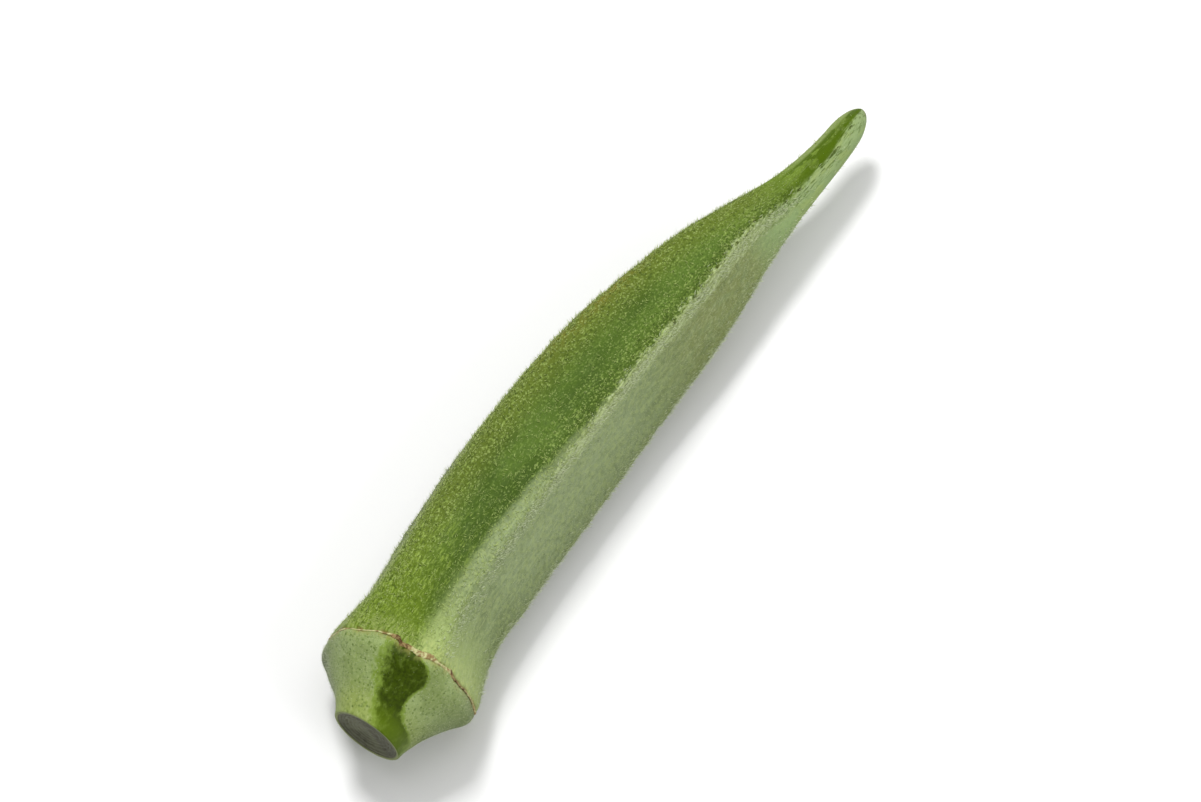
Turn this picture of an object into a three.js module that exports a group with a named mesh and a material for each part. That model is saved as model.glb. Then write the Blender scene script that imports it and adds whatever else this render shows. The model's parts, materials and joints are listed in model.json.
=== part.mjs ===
// An okra pod as picked, lying on its side. It is three pieces of different tissue that grew together: the
// ridged seed capsule with its horn-like beak, the swollen stem end that it sits on, with the cut face of
// the stem, and the dried scar that the fallen calyx left between the two.
// Millimetres, +X from the cut stem to the beak, +Z up. The lowest ridge is flattened where it lies.
import * as THREE from "three";
import { mergeVertices } from "three/addons/utils/BufferGeometryUtils.js";

// A station is a distance along the pod's own curved middle line, from the cut face of the stem.
const LENGTH = 125.3;
const SCAR_STATION = 11.3;
const SHOULDER_STATION = 24;
const TAPER_STATION = 72;
const BEAK_ROUNDING = 5.5;

// Along the pod: [station, value]. A smooth curve runs through the values.
const CREST_RADIUS = [
  [0, 5.5],
  [1.5, 6.1],
  [3.5, 7.1],
  [5.5, 8.6],
  [7.4, 10.2],
  [9.4, 12],
  [11.8, 12.2],
  [15, 11.4],
  [20, 10.4],
  [32, 10.6],
  [48, 10.9],
  [62, 10.5],
  [76, 9.3],
  [88, 7.5],
  [98, 5.2],
  [107, 3.5],
  [LENGTH, 2.2],
];
const HEADING_DEGREES = [
  [0, 11.5],
  [12, 10.5],
  [30, 5.5],
  [60, -1],
  [75, -5.5],
  [89, -6],
  [100, -9.5],
  [110, -5.5],
  [LENGTH, 5.5],
];
const MIDDLE_HEIGHT = [
  [0, 11.3],
  [12, 10.5],
  [32, 9.3],
  [70, 9.1],
  [100, 9],
  [LENGTH, 8.4],
];
const RIDGE_TURN_DEGREES = [
  [0, 0],
  [70, 0],
  [90, -7],
  [108, -26],
  [LENGTH, -32],
];

// How far a section has left the round stem for the five-sided capsule: 0 is round, 1 is five-sided.
const SQUARENESS = [
  [0, 0],
  [4, 0.15],
  [9, 0.5],
  [14, 0.8],
  [22, 1],
  [88, 1],
  [102, 0.7],
  [112, 0.4],
  [LENGTH, 0.2],
];

// The five ridges, as angles from straight up and turning towards -Y, with how far each one reaches.
const RIDGES = [
  { angle: -38, reach: 1 },
  { angle: 30, reach: 1 },
  { angle: 108, reach: 1 },
  { angle: 180, reach: 0.96 },
  { angle: 252, reach: 0.98 },
];
const CORNER_ROUNDING_POWER = 16;
const ROUND_SHARE = 0.93;

// Each crest carries a rib, broad at the shoulder and narrow from the middle on.
const RIB_HEIGHT = 0.3;
const RIB_HALF_WIDTH = [
  [0, 3],
  [SCAR_STATION, 3],
  [30, 1.8],
  [60, 1.4],
  [LENGTH, 1],
];

// The stem end leans over: its sections tilt towards this angle, and straighten out by this station.
const LEAN_DEGREES = 7;
const LEAN_TOWARDS_DEGREES = 20;
const LEAN_GONE_BY = 36;

// The stem was cut aslant: towards -Y the cut reaches further out than square, and towards +Y less far.
const CUT_SLANT_DEGREES = 9.5;
const CUT_SLANT_GONE_BY = 7;

// The dished cut face of the stem: how far in its middle lies, and the lip left round it.
const DISH_DEPTH = 0.9;
const LIP_SHARE = 0.95;

// The scar sits in a groove between capsule and stem end, with a narrow gap to both.
const GROOVE_HALF_WIDTH = 0.8;
const GROOVE_DEPTH = 1.2;
const JOINT_HALF_GAP = 0.15;
const SCAR_HALF_WIDTH = 0.45;
const SCAR_DEPTH = 0.75;
const SCAR_PROUD = 0.35;
const SCAR_RAGGED = 0.15;
const SCAR_FLOOR_CLEARANCE = 0.1;

const SEGMENTS_PER_FACE = 12;
const SEGMENTS_AROUND = SEGMENTS_PER_FACE * RIDGES.length;
const MIDDLE_LINE_STEPS = 2000;
const MERGE_WITHIN = 1e-3;

const POD_LOOK = { color: 0x6f8f3c, roughness: 0.7, metalness: 0 };
const STEM_LOOK = { color: 0x9dab5e, roughness: 0.65, metalness: 0 };
const SCAR_LOOK = { color: 0x8a6a3c, roughness: 0.9, metalness: 0 };

const radians = THREE.MathUtils.degToRad;
const { clamp, lerp, smoothstep } = THREE.MathUtils;

// A smooth curve through [station, value] points: each point's slope is the mean of its two neighbours'.
function along(points, station) {
  const last = points.length - 1;
  const rise = (i) => (points[i + 1][1] - points[i][1]) / (points[i + 1][0] - points[i][0]);
  const slope = (i) => (rise(Math.max(i - 1, 0)) + rise(Math.min(i, last - 1))) / 2;
  let i = 0;
  while (i < last - 1 && station > points[i + 1][0]) i += 1;
  const span = points[i + 1][0] - points[i][0];
  const t = clamp((station - points[i][0]) / span, 0, 1);
  const fromHere = (1 + 2 * t) * (1 - t) ** 2 * points[i][1] + t * (1 - t) ** 2 * span * slope(i);
  const fromNext = t * t * (3 - 2 * t) * points[i + 1][1] + t * t * (t - 1) * span * slope(i + 1);
  return fromHere + fromNext;
}

// A bell curve: 1 in the middle and close to 0 at twice its half width.
function bell(distance, halfWidth) {
  return Math.exp(-((distance / halfWidth) ** 2));
}

function headingAt(station) {
  const heading = radians(along(HEADING_DEGREES, station));
  return new THREE.Vector3(Math.cos(heading), Math.sin(heading), 0);
}

// The middle line from above: short steps, each one taken in the heading at its own station.
function middleLine() {
  const step = LENGTH / MIDDLE_LINE_STEPS;
  const points = [new THREE.Vector3(0, 0, 0)];
  for (let i = 0; i < MIDDLE_LINE_STEPS; i += 1) {
    points.push(points[i].clone().addScaledVector(headingAt((i + 0.5) * step), step));
  }
  return points;
}

const MIDDLE_LINE = middleLine();

// A point of the middle line. Past either end it runs straight on.
function middleAt(station) {
  const onLine = clamp(station, 0, LENGTH);
  const place = (onLine / LENGTH) * MIDDLE_LINE_STEPS;
  const before = Math.min(Math.floor(place), MIDDLE_LINE_STEPS - 1);
  const point = MIDDLE_LINE[before].clone().lerp(MIDDLE_LINE[before + 1], place - before);
  point.addScaledVector(headingAt(station), station - onLine);
  return point.setZ(along(MIDDLE_HEIGHT, station));
}

function cornerOf(ridge) {
  return new THREE.Vector2(ridge.reach, 0).rotateAround(new THREE.Vector2(), radians(ridge.angle));
}

// The five flat faces of a section: the direction of each one's normal, and its distance from the middle.
const FACES = RIDGES.map((ridge, i) => {
  const next = RIDGES[(i + 1) % RIDGES.length];
  const edge = cornerOf(next).sub(cornerOf(ridge));
  const normal = new THREE.Vector2(edge.y, -edge.x).normalize();
  return { angle: normal.angle(), distance: normal.dot(cornerOf(ridge)) };
});

// Where a section's outline lies, as a share of the crest radius. The largest of the five faces' own
// cosines would give a sharp pentagon, and a power mean in its place rounds the corners.
function pentagon(angle) {
  const power = CORNER_ROUNDING_POWER;
  const nearness = FACES.map((face) => Math.max(Math.cos(angle - face.angle) / face.distance, 0) ** power);
  return nearness.reduce((sum, each) => sum + each, 0) ** (-1 / power);
}

// The ribs on the crests: a low bell curve across each one, measured along the skin.
function ribs(angle, radius, halfWidth) {
  return RIDGES.reduce((sum, ridge) => {
    const turned = angle - radians(ridge.angle);
    const away = Math.atan2(Math.sin(turned), Math.cos(turned)) * radius;
    return sum + RIB_HEIGHT * bell(away, halfWidth);
  }, 0);
}

function radiusAt(station, angle) {
  const crest = along(CREST_RADIUS, station);
  const squareness = along(SQUARENESS, station);
  const unturned = angle - radians(along(RIDGE_TURN_DEGREES, station));
  const section = crest * lerp(ROUND_SHARE, pentagon(unturned), squareness);
  const ribbed = section + squareness * ribs(unturned, crest, along(RIB_HALF_WIDTH, station));
  const intoBeak = clamp((station - LENGTH + BEAK_ROUNDING) / BEAK_ROUNDING, 0, 1);
  return ribbed * Math.sqrt(1 - intoBeak ** 2);
}

// A point of the pod: share 0 is on the middle line and 1 on the skin, and proud is added outside it. The skin
// reaches no lower than the surface that the pod lies on, which is what flattens its lowest ridge.
function pointAt(station, angle, share, proud) {
  const free = radiusAt(station, angle);
  const lean = Math.tan(radians(LEAN_DEGREES)) * (1 - smoothstep(station, SCAR_STATION, LEAN_GONE_BY));
  const slant = Math.tan(radians(CUT_SLANT_DEGREES)) * (1 - smoothstep(station, 0, CUT_SLANT_GONE_BY));
  const tilt = lean * Math.cos(angle - radians(LEAN_TOWARDS_DEGREES)) + slant * Math.sin(angle);
  const at = station - tilt * (free * share + proud);
  const point = middleAt(at);
  const down = -Math.cos(angle);
  const resting = down > 0 ? Math.min(free, point.z / down) : free;
  const radius = resting * share + proud;
  const ahead = headingAt(at);
  point.addScaledVector(new THREE.Vector3(ahead.y, -ahead.x, 0), radius * Math.sin(angle));
  point.z -= radius * down;
  return point;
}

// Angles round a section: each ridge has one, and they lie closer together near the ridges.
function angleOf(index, station) {
  const side = Math.floor(index / SEGMENTS_PER_FACE);
  const t = (index % SEGMENTS_PER_FACE) / SEGMENTS_PER_FACE;
  const eased = t - Math.sin(2 * Math.PI * t) / (4 * Math.PI);
  const from = RIDGES[side].angle;
  const to = side + 1 < RIDGES.length ? RIDGES[side + 1].angle : RIDGES[0].angle + 360;
  return radians(lerp(from, to, eased) + along(RIDGE_TURN_DEGREES, station));
}

// A turned body whose rings are then carried to their places on the pod. Each row is one ring, with its
// station, its share of the skin's radius, and how proud of the skin it stands at an angle. No point goes
// below lowest.
function grown(name, look, rows, lowest = 0) {
  const profile = rows.map((row, i) => new THREE.Vector2(1, i));
  const geometry = new THREE.LatheGeometry(profile, SEGMENTS_AROUND);
  const position = geometry.getAttribute("position");
  for (let i = 0; i < position.count; i += 1) {
    const row = rows[Math.round(position.getY(i))];
    const turn = Math.atan2(position.getX(i), position.getZ(i)) / (2 * Math.PI);
    const index = Math.round((turn + 1) * SEGMENTS_AROUND) % SEGMENTS_AROUND;
    const angle = angleOf(index, row.station);
    const point = pointAt(row.station, angle, row.share, row.proud(angle));
    position.setXYZ(i, point.x, point.y, Math.max(point.z, lowest));
  }
  geometry.deleteAttribute("normal");
  geometry.deleteAttribute("uv");
  const merged = mergeVertices(geometry, MERGE_WITHIN);
  merged.computeVertexNormals();
  const mesh = new THREE.Mesh(merged, new THREE.MeshStandardMaterial(look));
  mesh.name = name;
  return mesh;
}

// Evenly spread stations, with both ends.
function spread(from, to, count) {
  return Array.from({ length: count }, (_, i) => lerp(from, to, i / (count - 1)));
}

const row = (station, share, proud) => ({ station, share, proud: () => proud });
const skin = (station) => row(station, 1, 0);
const inside = (share, station) => row(station, share, 0);
const recessed = (station) => row(station, 1, -GROOVE_DEPTH);

function pod() {
  const joint = SCAR_STATION + JOINT_HALF_GAP;
  const beak = LENGTH - BEAK_ROUNDING;
  const roundEnd = [0.3, 0.55, 0.75, 0.88, 0.96].map((share) => lerp(beak, LENGTH, share));
  return grown("pod", POD_LOOK, [
    inside(0, joint),
    inside(0.5, joint),
    recessed(joint),
    ...spread(SCAR_STATION + GROOVE_HALF_WIDTH, SHOULDER_STATION, 7).map(skin),
    ...spread(SHOULDER_STATION, TAPER_STATION, 13).slice(1).map(skin),
    ...spread(TAPER_STATION, beak, 15).slice(1).map(skin),
    ...roundEnd.map(skin),
    inside(0, LENGTH),
  ]);
}

function stemCap() {
  const joint = SCAR_STATION - JOINT_HALF_GAP;
  const dish = [0, 0.35, 0.65, 0.86].map((share) => inside(share, DISH_DEPTH * (1 - share ** 2)));
  return grown("stem_cap", STEM_LOOK, [
    ...dish,
    inside(LIP_SHARE, 0),
    ...spread(0.3, SCAR_STATION - GROOVE_HALF_WIDTH, 12).map(skin),
    recessed(joint),
    inside(0.5, joint),
    inside(0, joint),
  ]);
}

// The scar's edge is ragged: three waves of different lengths run round it.
function ragged(height) {
  return (angle) => {
    const waves = 0.5 * Math.sin(7 * angle) + 0.3 * Math.sin(13 * angle + 1) + 0.2 * Math.sin(19 * angle + 2);
    return height + SCAR_RAGGED * waves;
  };
}

function calyxScar() {
  const at = (offset, proud) => ({ station: SCAR_STATION + offset, share: 1, proud });
  const section = [
    at(0, () => -SCAR_DEPTH),
    at(-SCAR_HALF_WIDTH, () => 0),
    at(-SCAR_HALF_WIDTH / 2, ragged(SCAR_PROUD * 0.8)),
    at(SCAR_HALF_WIDTH / 4, ragged(SCAR_PROUD)),
    at(SCAR_HALF_WIDTH, () => 0),
  ];
  return grown("calyx_scar", SCAR_LOOK, [...section, section[0]], SCAR_FLOOR_CLEARANCE);
}

const okra = new THREE.Group();
okra.add(pod(), stemCap(), calyxScar());

// The origin lies under the middle of the pod, on the surface that it rests on.
const centre = new THREE.Box3().setFromObject(okra, true).getCenter(new THREE.Vector3());
okra.position.set(-centre.x, -centre.y, 0);

export default okra;
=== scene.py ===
# %% [markdown]
# # An okra pod lying on a white table
# The real thing is three tissues grown together: a five-ridged capsule that ends in a horn-like beak, the
# swollen end of the stem, and between them the dried scar where the calyx fell away. Short white hairs cover
# most of it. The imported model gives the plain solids. This notebook lays a finer skin over each of them,
# adds the hairs, and paints everything with procedural materials.

# %% Load the frame
import json
from math import cos, radians, sin

import bpy
import numpy as np
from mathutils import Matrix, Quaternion, Vector

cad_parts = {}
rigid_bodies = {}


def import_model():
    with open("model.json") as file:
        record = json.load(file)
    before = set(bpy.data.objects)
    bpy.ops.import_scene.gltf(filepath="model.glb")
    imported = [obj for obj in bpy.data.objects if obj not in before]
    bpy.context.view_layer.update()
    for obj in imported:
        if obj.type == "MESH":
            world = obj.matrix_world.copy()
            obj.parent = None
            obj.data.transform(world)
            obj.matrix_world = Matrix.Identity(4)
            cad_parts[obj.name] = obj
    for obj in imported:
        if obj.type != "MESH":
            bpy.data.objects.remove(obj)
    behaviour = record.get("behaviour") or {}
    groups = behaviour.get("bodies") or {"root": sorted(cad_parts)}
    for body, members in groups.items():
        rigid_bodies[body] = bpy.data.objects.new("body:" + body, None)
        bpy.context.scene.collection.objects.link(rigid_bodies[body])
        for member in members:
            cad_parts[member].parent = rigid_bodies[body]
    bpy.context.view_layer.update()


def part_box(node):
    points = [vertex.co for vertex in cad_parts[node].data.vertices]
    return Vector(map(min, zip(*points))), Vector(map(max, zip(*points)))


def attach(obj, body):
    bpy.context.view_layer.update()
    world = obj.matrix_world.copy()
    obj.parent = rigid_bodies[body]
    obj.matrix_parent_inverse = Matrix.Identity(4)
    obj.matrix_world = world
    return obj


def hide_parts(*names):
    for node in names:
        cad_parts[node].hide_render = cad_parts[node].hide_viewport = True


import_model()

MM = 0.001

# %% [markdown]
# ## The dimensions of the pod
# They are the ones that the solids were made from, in millimetres and degrees. A station is a distance along
# the pod's curved middle line, from the cut face of the stem. Most sizes change along the pod, so they are
# short lists of [station, value], and a smooth curve runs through them.

# %% Driving dimensions
LENGTH = 125.3
SCAR_STATION = 11.3
BEAK_ROUNDING = 5.5
CREST_RADIUS = [
    [0, 5.5], [1.5, 6.1], [3.5, 7.1], [5.5, 8.6], [7.4, 10.2], [9.4, 12], [11.8, 12.2], [15, 11.4],
    [20, 10.4], [32, 10.6], [48, 10.9], [62, 10.5], [76, 9.3], [88, 7.5], [98, 5.2], [107, 3.5],
    [LENGTH, 2.2],
]
HEADING_DEGREES = [
    [0, 11.5], [12, 10.5], [30, 5.5], [60, -1], [75, -5.5], [89, -6], [100, -9.5], [110, -5.5],
    [LENGTH, 5.5],
]
MIDDLE_HEIGHT = [[0, 11.3], [12, 10.5], [32, 9.3], [70, 9.1], [100, 9], [LENGTH, 8.4]]
RIDGE_TURN_DEGREES = [[0, 0], [70, 0], [90, -7], [108, -26], [LENGTH, -32]]
SQUARENESS = [
    [0, 0], [4, 0.15], [9, 0.5], [14, 0.8], [22, 1], [88, 1], [102, 0.7], [112, 0.4], [LENGTH, 0.2],
]
RIDGE_ANGLES = np.radians([-38, 30, 108, 180, 252])
RIDGE_REACHES = np.array([1, 1, 1, 0.96, 0.98])
CORNER_ROUNDING_POWER = 16
ROUND_SHARE = 0.93
RIB_HEIGHT = 0.3
RIB_HALF_WIDTH = [[0, 3], [SCAR_STATION, 3], [30, 1.8], [60, 1.4], [LENGTH, 1]]
LEAN, LEAN_TOWARDS, LEAN_GONE_BY = radians(7), radians(20), 36
CUT_SLANT, CUT_SLANT_GONE_BY = radians(9.5), 7
DISH_DEPTH = 0.9
LIP_SHARE = 0.95

# %% [markdown]
# ## The form, as formulas
# The pod is a radius that depends on two numbers: the station along it, and the angle round it from straight
# up. It could be pulled out of a cylinder by hand, but formulas keep it in step with the plain solids.
# Everything below works on whole numpy arrays, so one call gives every vertex of a piece.


# %% Smooth curves through a few values
def along(points, station):
    """Cubic Hermite curve through [station, value] points. The slope at a point is the mean of the slopes of
    the straight lines on its two sides."""
    x, y = np.array(points, float).T
    station = np.asarray(station, float)
    rise = np.diff(y) / np.diff(x)
    slope = (np.append(rise[0], rise) + np.append(rise, rise[-1])) / 2
    i = np.clip(np.searchsorted(x, station) - 1, 0, len(x) - 2)
    span = x[i + 1] - x[i]
    t = np.clip((station - x[i]) / span, 0, 1)
    from_here = (1 + 2 * t) * (1 - t) ** 2 * y[i] + t * (1 - t) ** 2 * span * slope[i]
    from_next = t * t * (3 - 2 * t) * y[i + 1] + t * t * (t - 1) * span * slope[i + 1]
    return from_here + from_next


def smoothstep(value, low, high):
    """0 below low, 1 above high, and 3t^2 - 2t^3 between them."""
    t = np.clip((value - low) / (high - low), 0, 1)
    return t * t * (3 - 2 * t)


def stretch(value, start, full, fading, end):
    """1 between full and fading, 0 before start and after end, with a smoothstep on each side."""
    return smoothstep(value, start, full) * (1 - smoothstep(value, fading, end))


def bell(distance, half_width):
    """exp(-(distance / half_width)^2): 1 in the middle, 0.37 at half_width."""
    return np.exp(-((distance / half_width) ** 2))


print("crest radius at mid length:", round(float(along(CREST_RADIUS, LENGTH / 2)), 2), "mm")


# %% The middle line
LINE_STEPS = 2000
line_stations = np.linspace(0, LENGTH, LINE_STEPS + 1)
line_headings = np.radians(along(HEADING_DEGREES, (line_stations[1:] + line_stations[:-1]) / 2))
line_x = np.append(0, np.cumsum(np.cos(line_headings))) * LENGTH / LINE_STEPS
line_y = np.append(0, np.cumsum(np.sin(line_headings))) * LENGTH / LINE_STEPS


def heading_at(station):
    """The direction of the middle line there, as an angle from +X in the level plane."""
    return np.radians(along(HEADING_DEGREES, station))


def middle_at(station):
    """A point of the middle line: the sum of short steps in the headings before it, and straight on past
    either end, at its own height over the table."""
    beyond = station - np.clip(station, 0, LENGTH)
    x = np.interp(station, line_stations, line_x) + beyond * np.cos(heading_at(station))
    y = np.interp(station, line_stations, line_y) + beyond * np.sin(heading_at(station))
    return np.stack([x, y, along(MIDDLE_HEIGHT, station)], axis=-1)


print("the middle line ends at", middle_at(np.array(LENGTH)).round(2))

# %% The five-sided section
corners = RIDGE_REACHES * np.exp(1j * RIDGE_ANGLES)
edges = np.roll(corners, -1) - corners
normals = edges / np.abs(edges) * -1j
FACE_ANGLES = np.angle(normals)
FACE_DISTANCES = (corners * np.conj(normals)).real


def wrapped(angle):
    """The same angle between -pi and pi."""
    return (angle + np.pi) % (2 * np.pi) - np.pi


def pentagon(angle):
    """Outline of the section as a share of the crest radius: (sum over the faces of (cos(angle - face) /
    distance)^p)^(-1/p). A large p would give sharp corners, and this one rounds them."""
    nearness = np.cos(angle[..., None] - FACE_ANGLES) / FACE_DISTANCES
    return (np.maximum(nearness, 0) ** CORNER_ROUNDING_POWER).sum(-1) ** (-1 / CORNER_ROUNDING_POWER)


def unturned(station, angle):
    """The angle with the slow turn of the ridges taken out, so that a ridge has one value all the way."""
    return angle - np.radians(along(RIDGE_TURN_DEGREES, station))


def off_nearest(centres, station, angle):
    """Distance along the skin to the nearest of these angles, which turn with the ridges, in millimetres."""
    away = np.abs(wrapped(unturned(station, angle)[..., None] - centres)).min(-1)
    return away * along(CREST_RADIUS, station)


def from_crest(station, angle):
    """Distance along the skin to the nearest crest."""
    return off_nearest(RIDGE_ANGLES, station, angle)


def plain_radius(station, angle):
    """Radius of the smooth pod: crest radius times a blend of circle and pentagon, plus a bell-shaped rib on
    each crest, closed off by a quarter ellipse at the tip of the beak."""
    crest = along(CREST_RADIUS, station)
    square = along(SQUARENESS, station)
    section = crest * (ROUND_SHARE + (pentagon(unturned(station, angle)) - ROUND_SHARE) * square)
    ribs = RIB_HEIGHT * bell(from_crest(station, angle), along(RIB_HALF_WIDTH, station))
    into_beak = np.clip((station - LENGTH + BEAK_ROUNDING) / BEAK_ROUNDING, 0, 1)
    return (section + square * ribs) * np.sqrt(1 - into_beak**2)


print("the faces look towards", np.degrees(FACE_ANGLES).round(), "degrees round the pod")


# %% From station and angle to a place
def place(station, angle, share=1.0, proud=0.0):
    """The point at share of the skin's radius plus proud, with the lean of the stem end and the slant of its
    cut, not below the table. It is in millimetres, still unshifted."""
    free = plain_radius(station, angle)
    lean = np.tan(LEAN) * (1 - smoothstep(station, SCAR_STATION, LEAN_GONE_BY))
    slant = np.tan(CUT_SLANT) * (1 - smoothstep(station, 0, CUT_SLANT_GONE_BY))
    tilt = lean * np.cos(angle - LEAN_TOWARDS) + slant * np.sin(angle)
    at = station - tilt * (free * share + proud)
    middle = middle_at(at)
    down = -np.cos(angle)
    resting = np.where(down > 0, np.minimum(free, middle[..., 2] / np.maximum(down, 1e-6)), free)
    radius = resting * share + proud
    heading = heading_at(at)
    sideways = radius * np.sin(angle)
    offset = [np.sin(heading) * sideways, -np.cos(heading) * sideways, -radius * down]
    point = middle + np.stack(offset, axis=-1)
    return np.concatenate([point[..., :2], np.maximum(point[..., 2:], 0)], axis=-1)


pod_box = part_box("pod")
OFFSET_X = pod_box[1].x / MM - middle_at(np.array(LENGTH))[0]
probe_station, probe_angle = np.meshgrid(np.linspace(13, LENGTH, 200), np.linspace(0, 2 * np.pi, 200))
probe_y = place(probe_station, probe_angle)[..., 1]
OFFSET_Y = (pod_box[0].y + pod_box[1].y) / 2 / MM - (probe_y.min() + probe_y.max()) / 2
SHIFT = np.array([OFFSET_X, OFFSET_Y, 0])
print("the fine skin is shifted by", SHIFT.round(3), "mm to sit on the solids")

# %% [markdown]
# ## Putting arrays into meshes
# A piece is a grid of points: rings one after the other, with a single pole point where the piece has an
# end. A helper turns it into a closed mesh. The signed volume of the mesh says which way its faces look: it
# is positive only when they look outwards. The grid also gives the UV map: round the ring is across it,
# along the piece is up.


# %% Mesh helpers
MAP_NAME = "OFBake"


def signed_volume(points, triangles):
    """Sum of the volumes of the tetrahedra from the origin to each triangle: a . (b x c) / 6."""
    a, b, c = (points[triangles[:, k]] for k in range(3))
    return (a * np.cross(b, c)).sum() / 6


def new_piece(name, points_mm, faces, map_places):
    """A smooth object at the origin whose vertices are the points, shifted on to the solids and turned into
    metres. map_places holds the place on the UV map of each face's corners, in the order of the faces."""
    mesh = bpy.data.meshes.new(name)
    mesh.from_pydata(((points_mm + SHIFT) * MM).tolist(), [], faces)
    mesh.uv_layers.new(name=MAP_NAME).uv.foreach_set("vector", np.asarray(map_places, np.float32).ravel())
    mesh.shade_smooth()
    piece = bpy.data.objects.new(name, mesh)
    bpy.context.scene.collection.objects.link(piece)
    return piece


def map_heights(rings):
    """Where each ring goes on the map, from 0.01 to 0.99: the mean distance covered since the first ring."""
    steps = np.linalg.norm(np.diff(rings, axis=0), axis=-1).mean(-1)
    covered = np.append(0, np.cumsum(steps))
    return 0.01 + 0.98 * covered / covered[-1]


def ringed_piece(name, rings, poles=None):
    """A closed piece from a (rows, columns, 3) grid whose columns close into rings. With two poles, each end
    is closed by a fan of triangles to its pole. Without them, the last ring joins the first."""
    rows, columns, _ = rings.shape
    points, heights = rings.reshape(-1, 3), map_heights(rings)
    if poles is None:
        heights = np.append(heights, 1)
    i, j = np.meshgrid(np.arange(rows - (poles is not None)), np.arange(columns), indexing="ij")
    steps = ((0, 0), (0, 1), (1, 1), (1, 0))
    faces = np.stack([(i + di) % rows * columns + (j + dj) % columns for di, dj in steps], -1).reshape(-1, 4)
    places = np.stack([np.stack([(j + dj) / columns, heights[i + di]], -1) for di, dj in steps], -2)
    places = places.reshape(-1, 4, 2)
    fans, fan_places = np.zeros((0, 3), int), np.zeros((0, 3, 2))
    around = np.arange(columns)
    for pole, row, height, order in zip(poles or (), (0, rows - 1), (0, 1), ((2, 1, 0), (0, 1, 2))):
        here, ahead = row * columns + around, row * columns + (around + 1) % columns
        fan = np.stack([here, ahead, np.full(columns, len(points))], -1)
        across = np.stack([around, around + 1, around + 0.5], -1) / columns
        up = np.broadcast_to([heights[row], heights[row], height], across.shape)
        fans = np.concatenate([fans, fan[:, order]])
        fan_places = np.concatenate([fan_places, np.stack([across, up], -1)[:, order]])
        points = np.concatenate([points, pole[None]])
    halves = np.concatenate([faces[:, [0, 1, 2]], faces[:, [0, 2, 3]], fans])
    if signed_volume(points, halves) < 0:
        faces, fans, halves = faces[:, ::-1], fans[:, ::-1], halves[:, ::-1]
        places, fan_places = places[:, ::-1], fan_places[:, ::-1]
    map_places = np.concatenate([places.reshape(-1, 2), fan_places.reshape(-1, 2)])
    piece = new_piece(name, points, faces.tolist() + fans.tolist(), map_places)
    print(f"{name}: {len(halves)} triangles, {signed_volume(points, halves):.0f} mm3")
    return piece


def keep_numbers(piece, name, values, *at_poles):
    """Stores a number for each vertex, those at the poles last, under a name that a material can read."""
    attribute = piece.data.attributes.new(name, "FLOAT", "POINT")
    attribute.data.foreach_set("value", np.append(values, at_poles).astype(np.float32))
    print(f"{piece.name} keeps {name}: {values.min():.2f} to {values.max():.2f}")


def keep_straightened(piece, station, angle, radius, *pole_stations):
    """Stores where each vertex would be if the piece were straightened and untwisted: station along X, and
    the radius round it. Patterns on these coordinates follow the piece's curve and have no seam."""
    places = np.stack([station, radius * np.sin(angle), radius * np.cos(angle)], -1).reshape(-1, 3)
    places = np.concatenate([places, [(pole, 0, 0) for pole in pole_stations]])
    attribute = piece.data.attributes.new("straightened", "FLOAT_VECTOR", "POINT")
    attribute.data.foreach_set("vector", places.astype(np.float32).ravel())


# %% Soft random relief
def soft_noise(lengthwise, around, cells_around, seed):
    """Random heights between -1 and 1 on a lattice, blended by smoothstep between lattice points. lengthwise
    counts cells along the pod, and around is an angle, over which the pattern closes on itself."""
    rng = np.random.default_rng(seed)
    rows = int(np.ceil(np.max(lengthwise))) + 3
    lattice = rng.uniform(-1, 1, (rows, cells_around))
    u = np.asarray(lengthwise) + 1
    v = (around / (2 * np.pi) % 1) * cells_around
    i, j = np.floor(u).astype(int), np.floor(v).astype(int)
    s, t = smoothstep(u - i, 0, 1), smoothstep(v - j, 0, 1)
    j, next_j = j % cells_around, (j + 1) % cells_around
    here = lattice[i, j] * (1 - t) + lattice[i, next_j] * t
    ahead = lattice[i + 1, j] * (1 - t) + lattice[i + 1, next_j] * t
    return here * (1 - s) + ahead * s


print("noise sample:", soft_noise(np.array([0.5, 3.2]), np.array([0.1, 2.0]), 8, 1).round(2))

# %% [markdown]
# ## The line of the scar
# The scar wanders by up to a millimetre, with a sudden step beside the top ridge, and the capsule and the
# stem end meet along it. It could be a curve drawn by hand in the viewport. A short list of [degrees round
# the pod, millimetres] does the same and can be read by all three pieces.

# %% Where the scar runs
SCAR_LINE = [
    [-180, 0.1], [-120, 0.3], [-70, -0.6], [-42, -1], [-30, -0.7], [-16, 0.2], [0, 0.25], [4, -0.2],
    [26, -0.5], [36, -0.4], [42, -0.05], [59, -0.2], [76, 0.3], [90, 0.5], [104, 0.1], [140, -0.2],
    [180, 0.1],
]
SCAR_REACH = 6


def scar_offset(angle):
    """How far the scar's line is from its mean station: the curve through the list, plus a fine tremble."""
    tremble = soft_noise(np.full(np.shape(angle), 0.5), angle, 60, 71)
    return along(SCAR_LINE, np.degrees(wrapped(angle))) + 0.12 * tremble


def following_scar(station, angle):
    """Stations shifted so that the mean scar station lands on the scar's line, and less away from it."""
    return station + scar_offset(angle) * (1 - smoothstep(np.abs(station - SCAR_STATION), 0, SCAR_REACH))


def past_scar(station, angle):
    """Distance past the scar's line, in millimetres."""
    return station - SCAR_STATION - scar_offset(angle)


wander = scar_offset(np.linspace(0, 2 * np.pi, 360))
print(f"the scar wanders from {wander.min():.2f} to {wander.max():.2f} mm")


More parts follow.
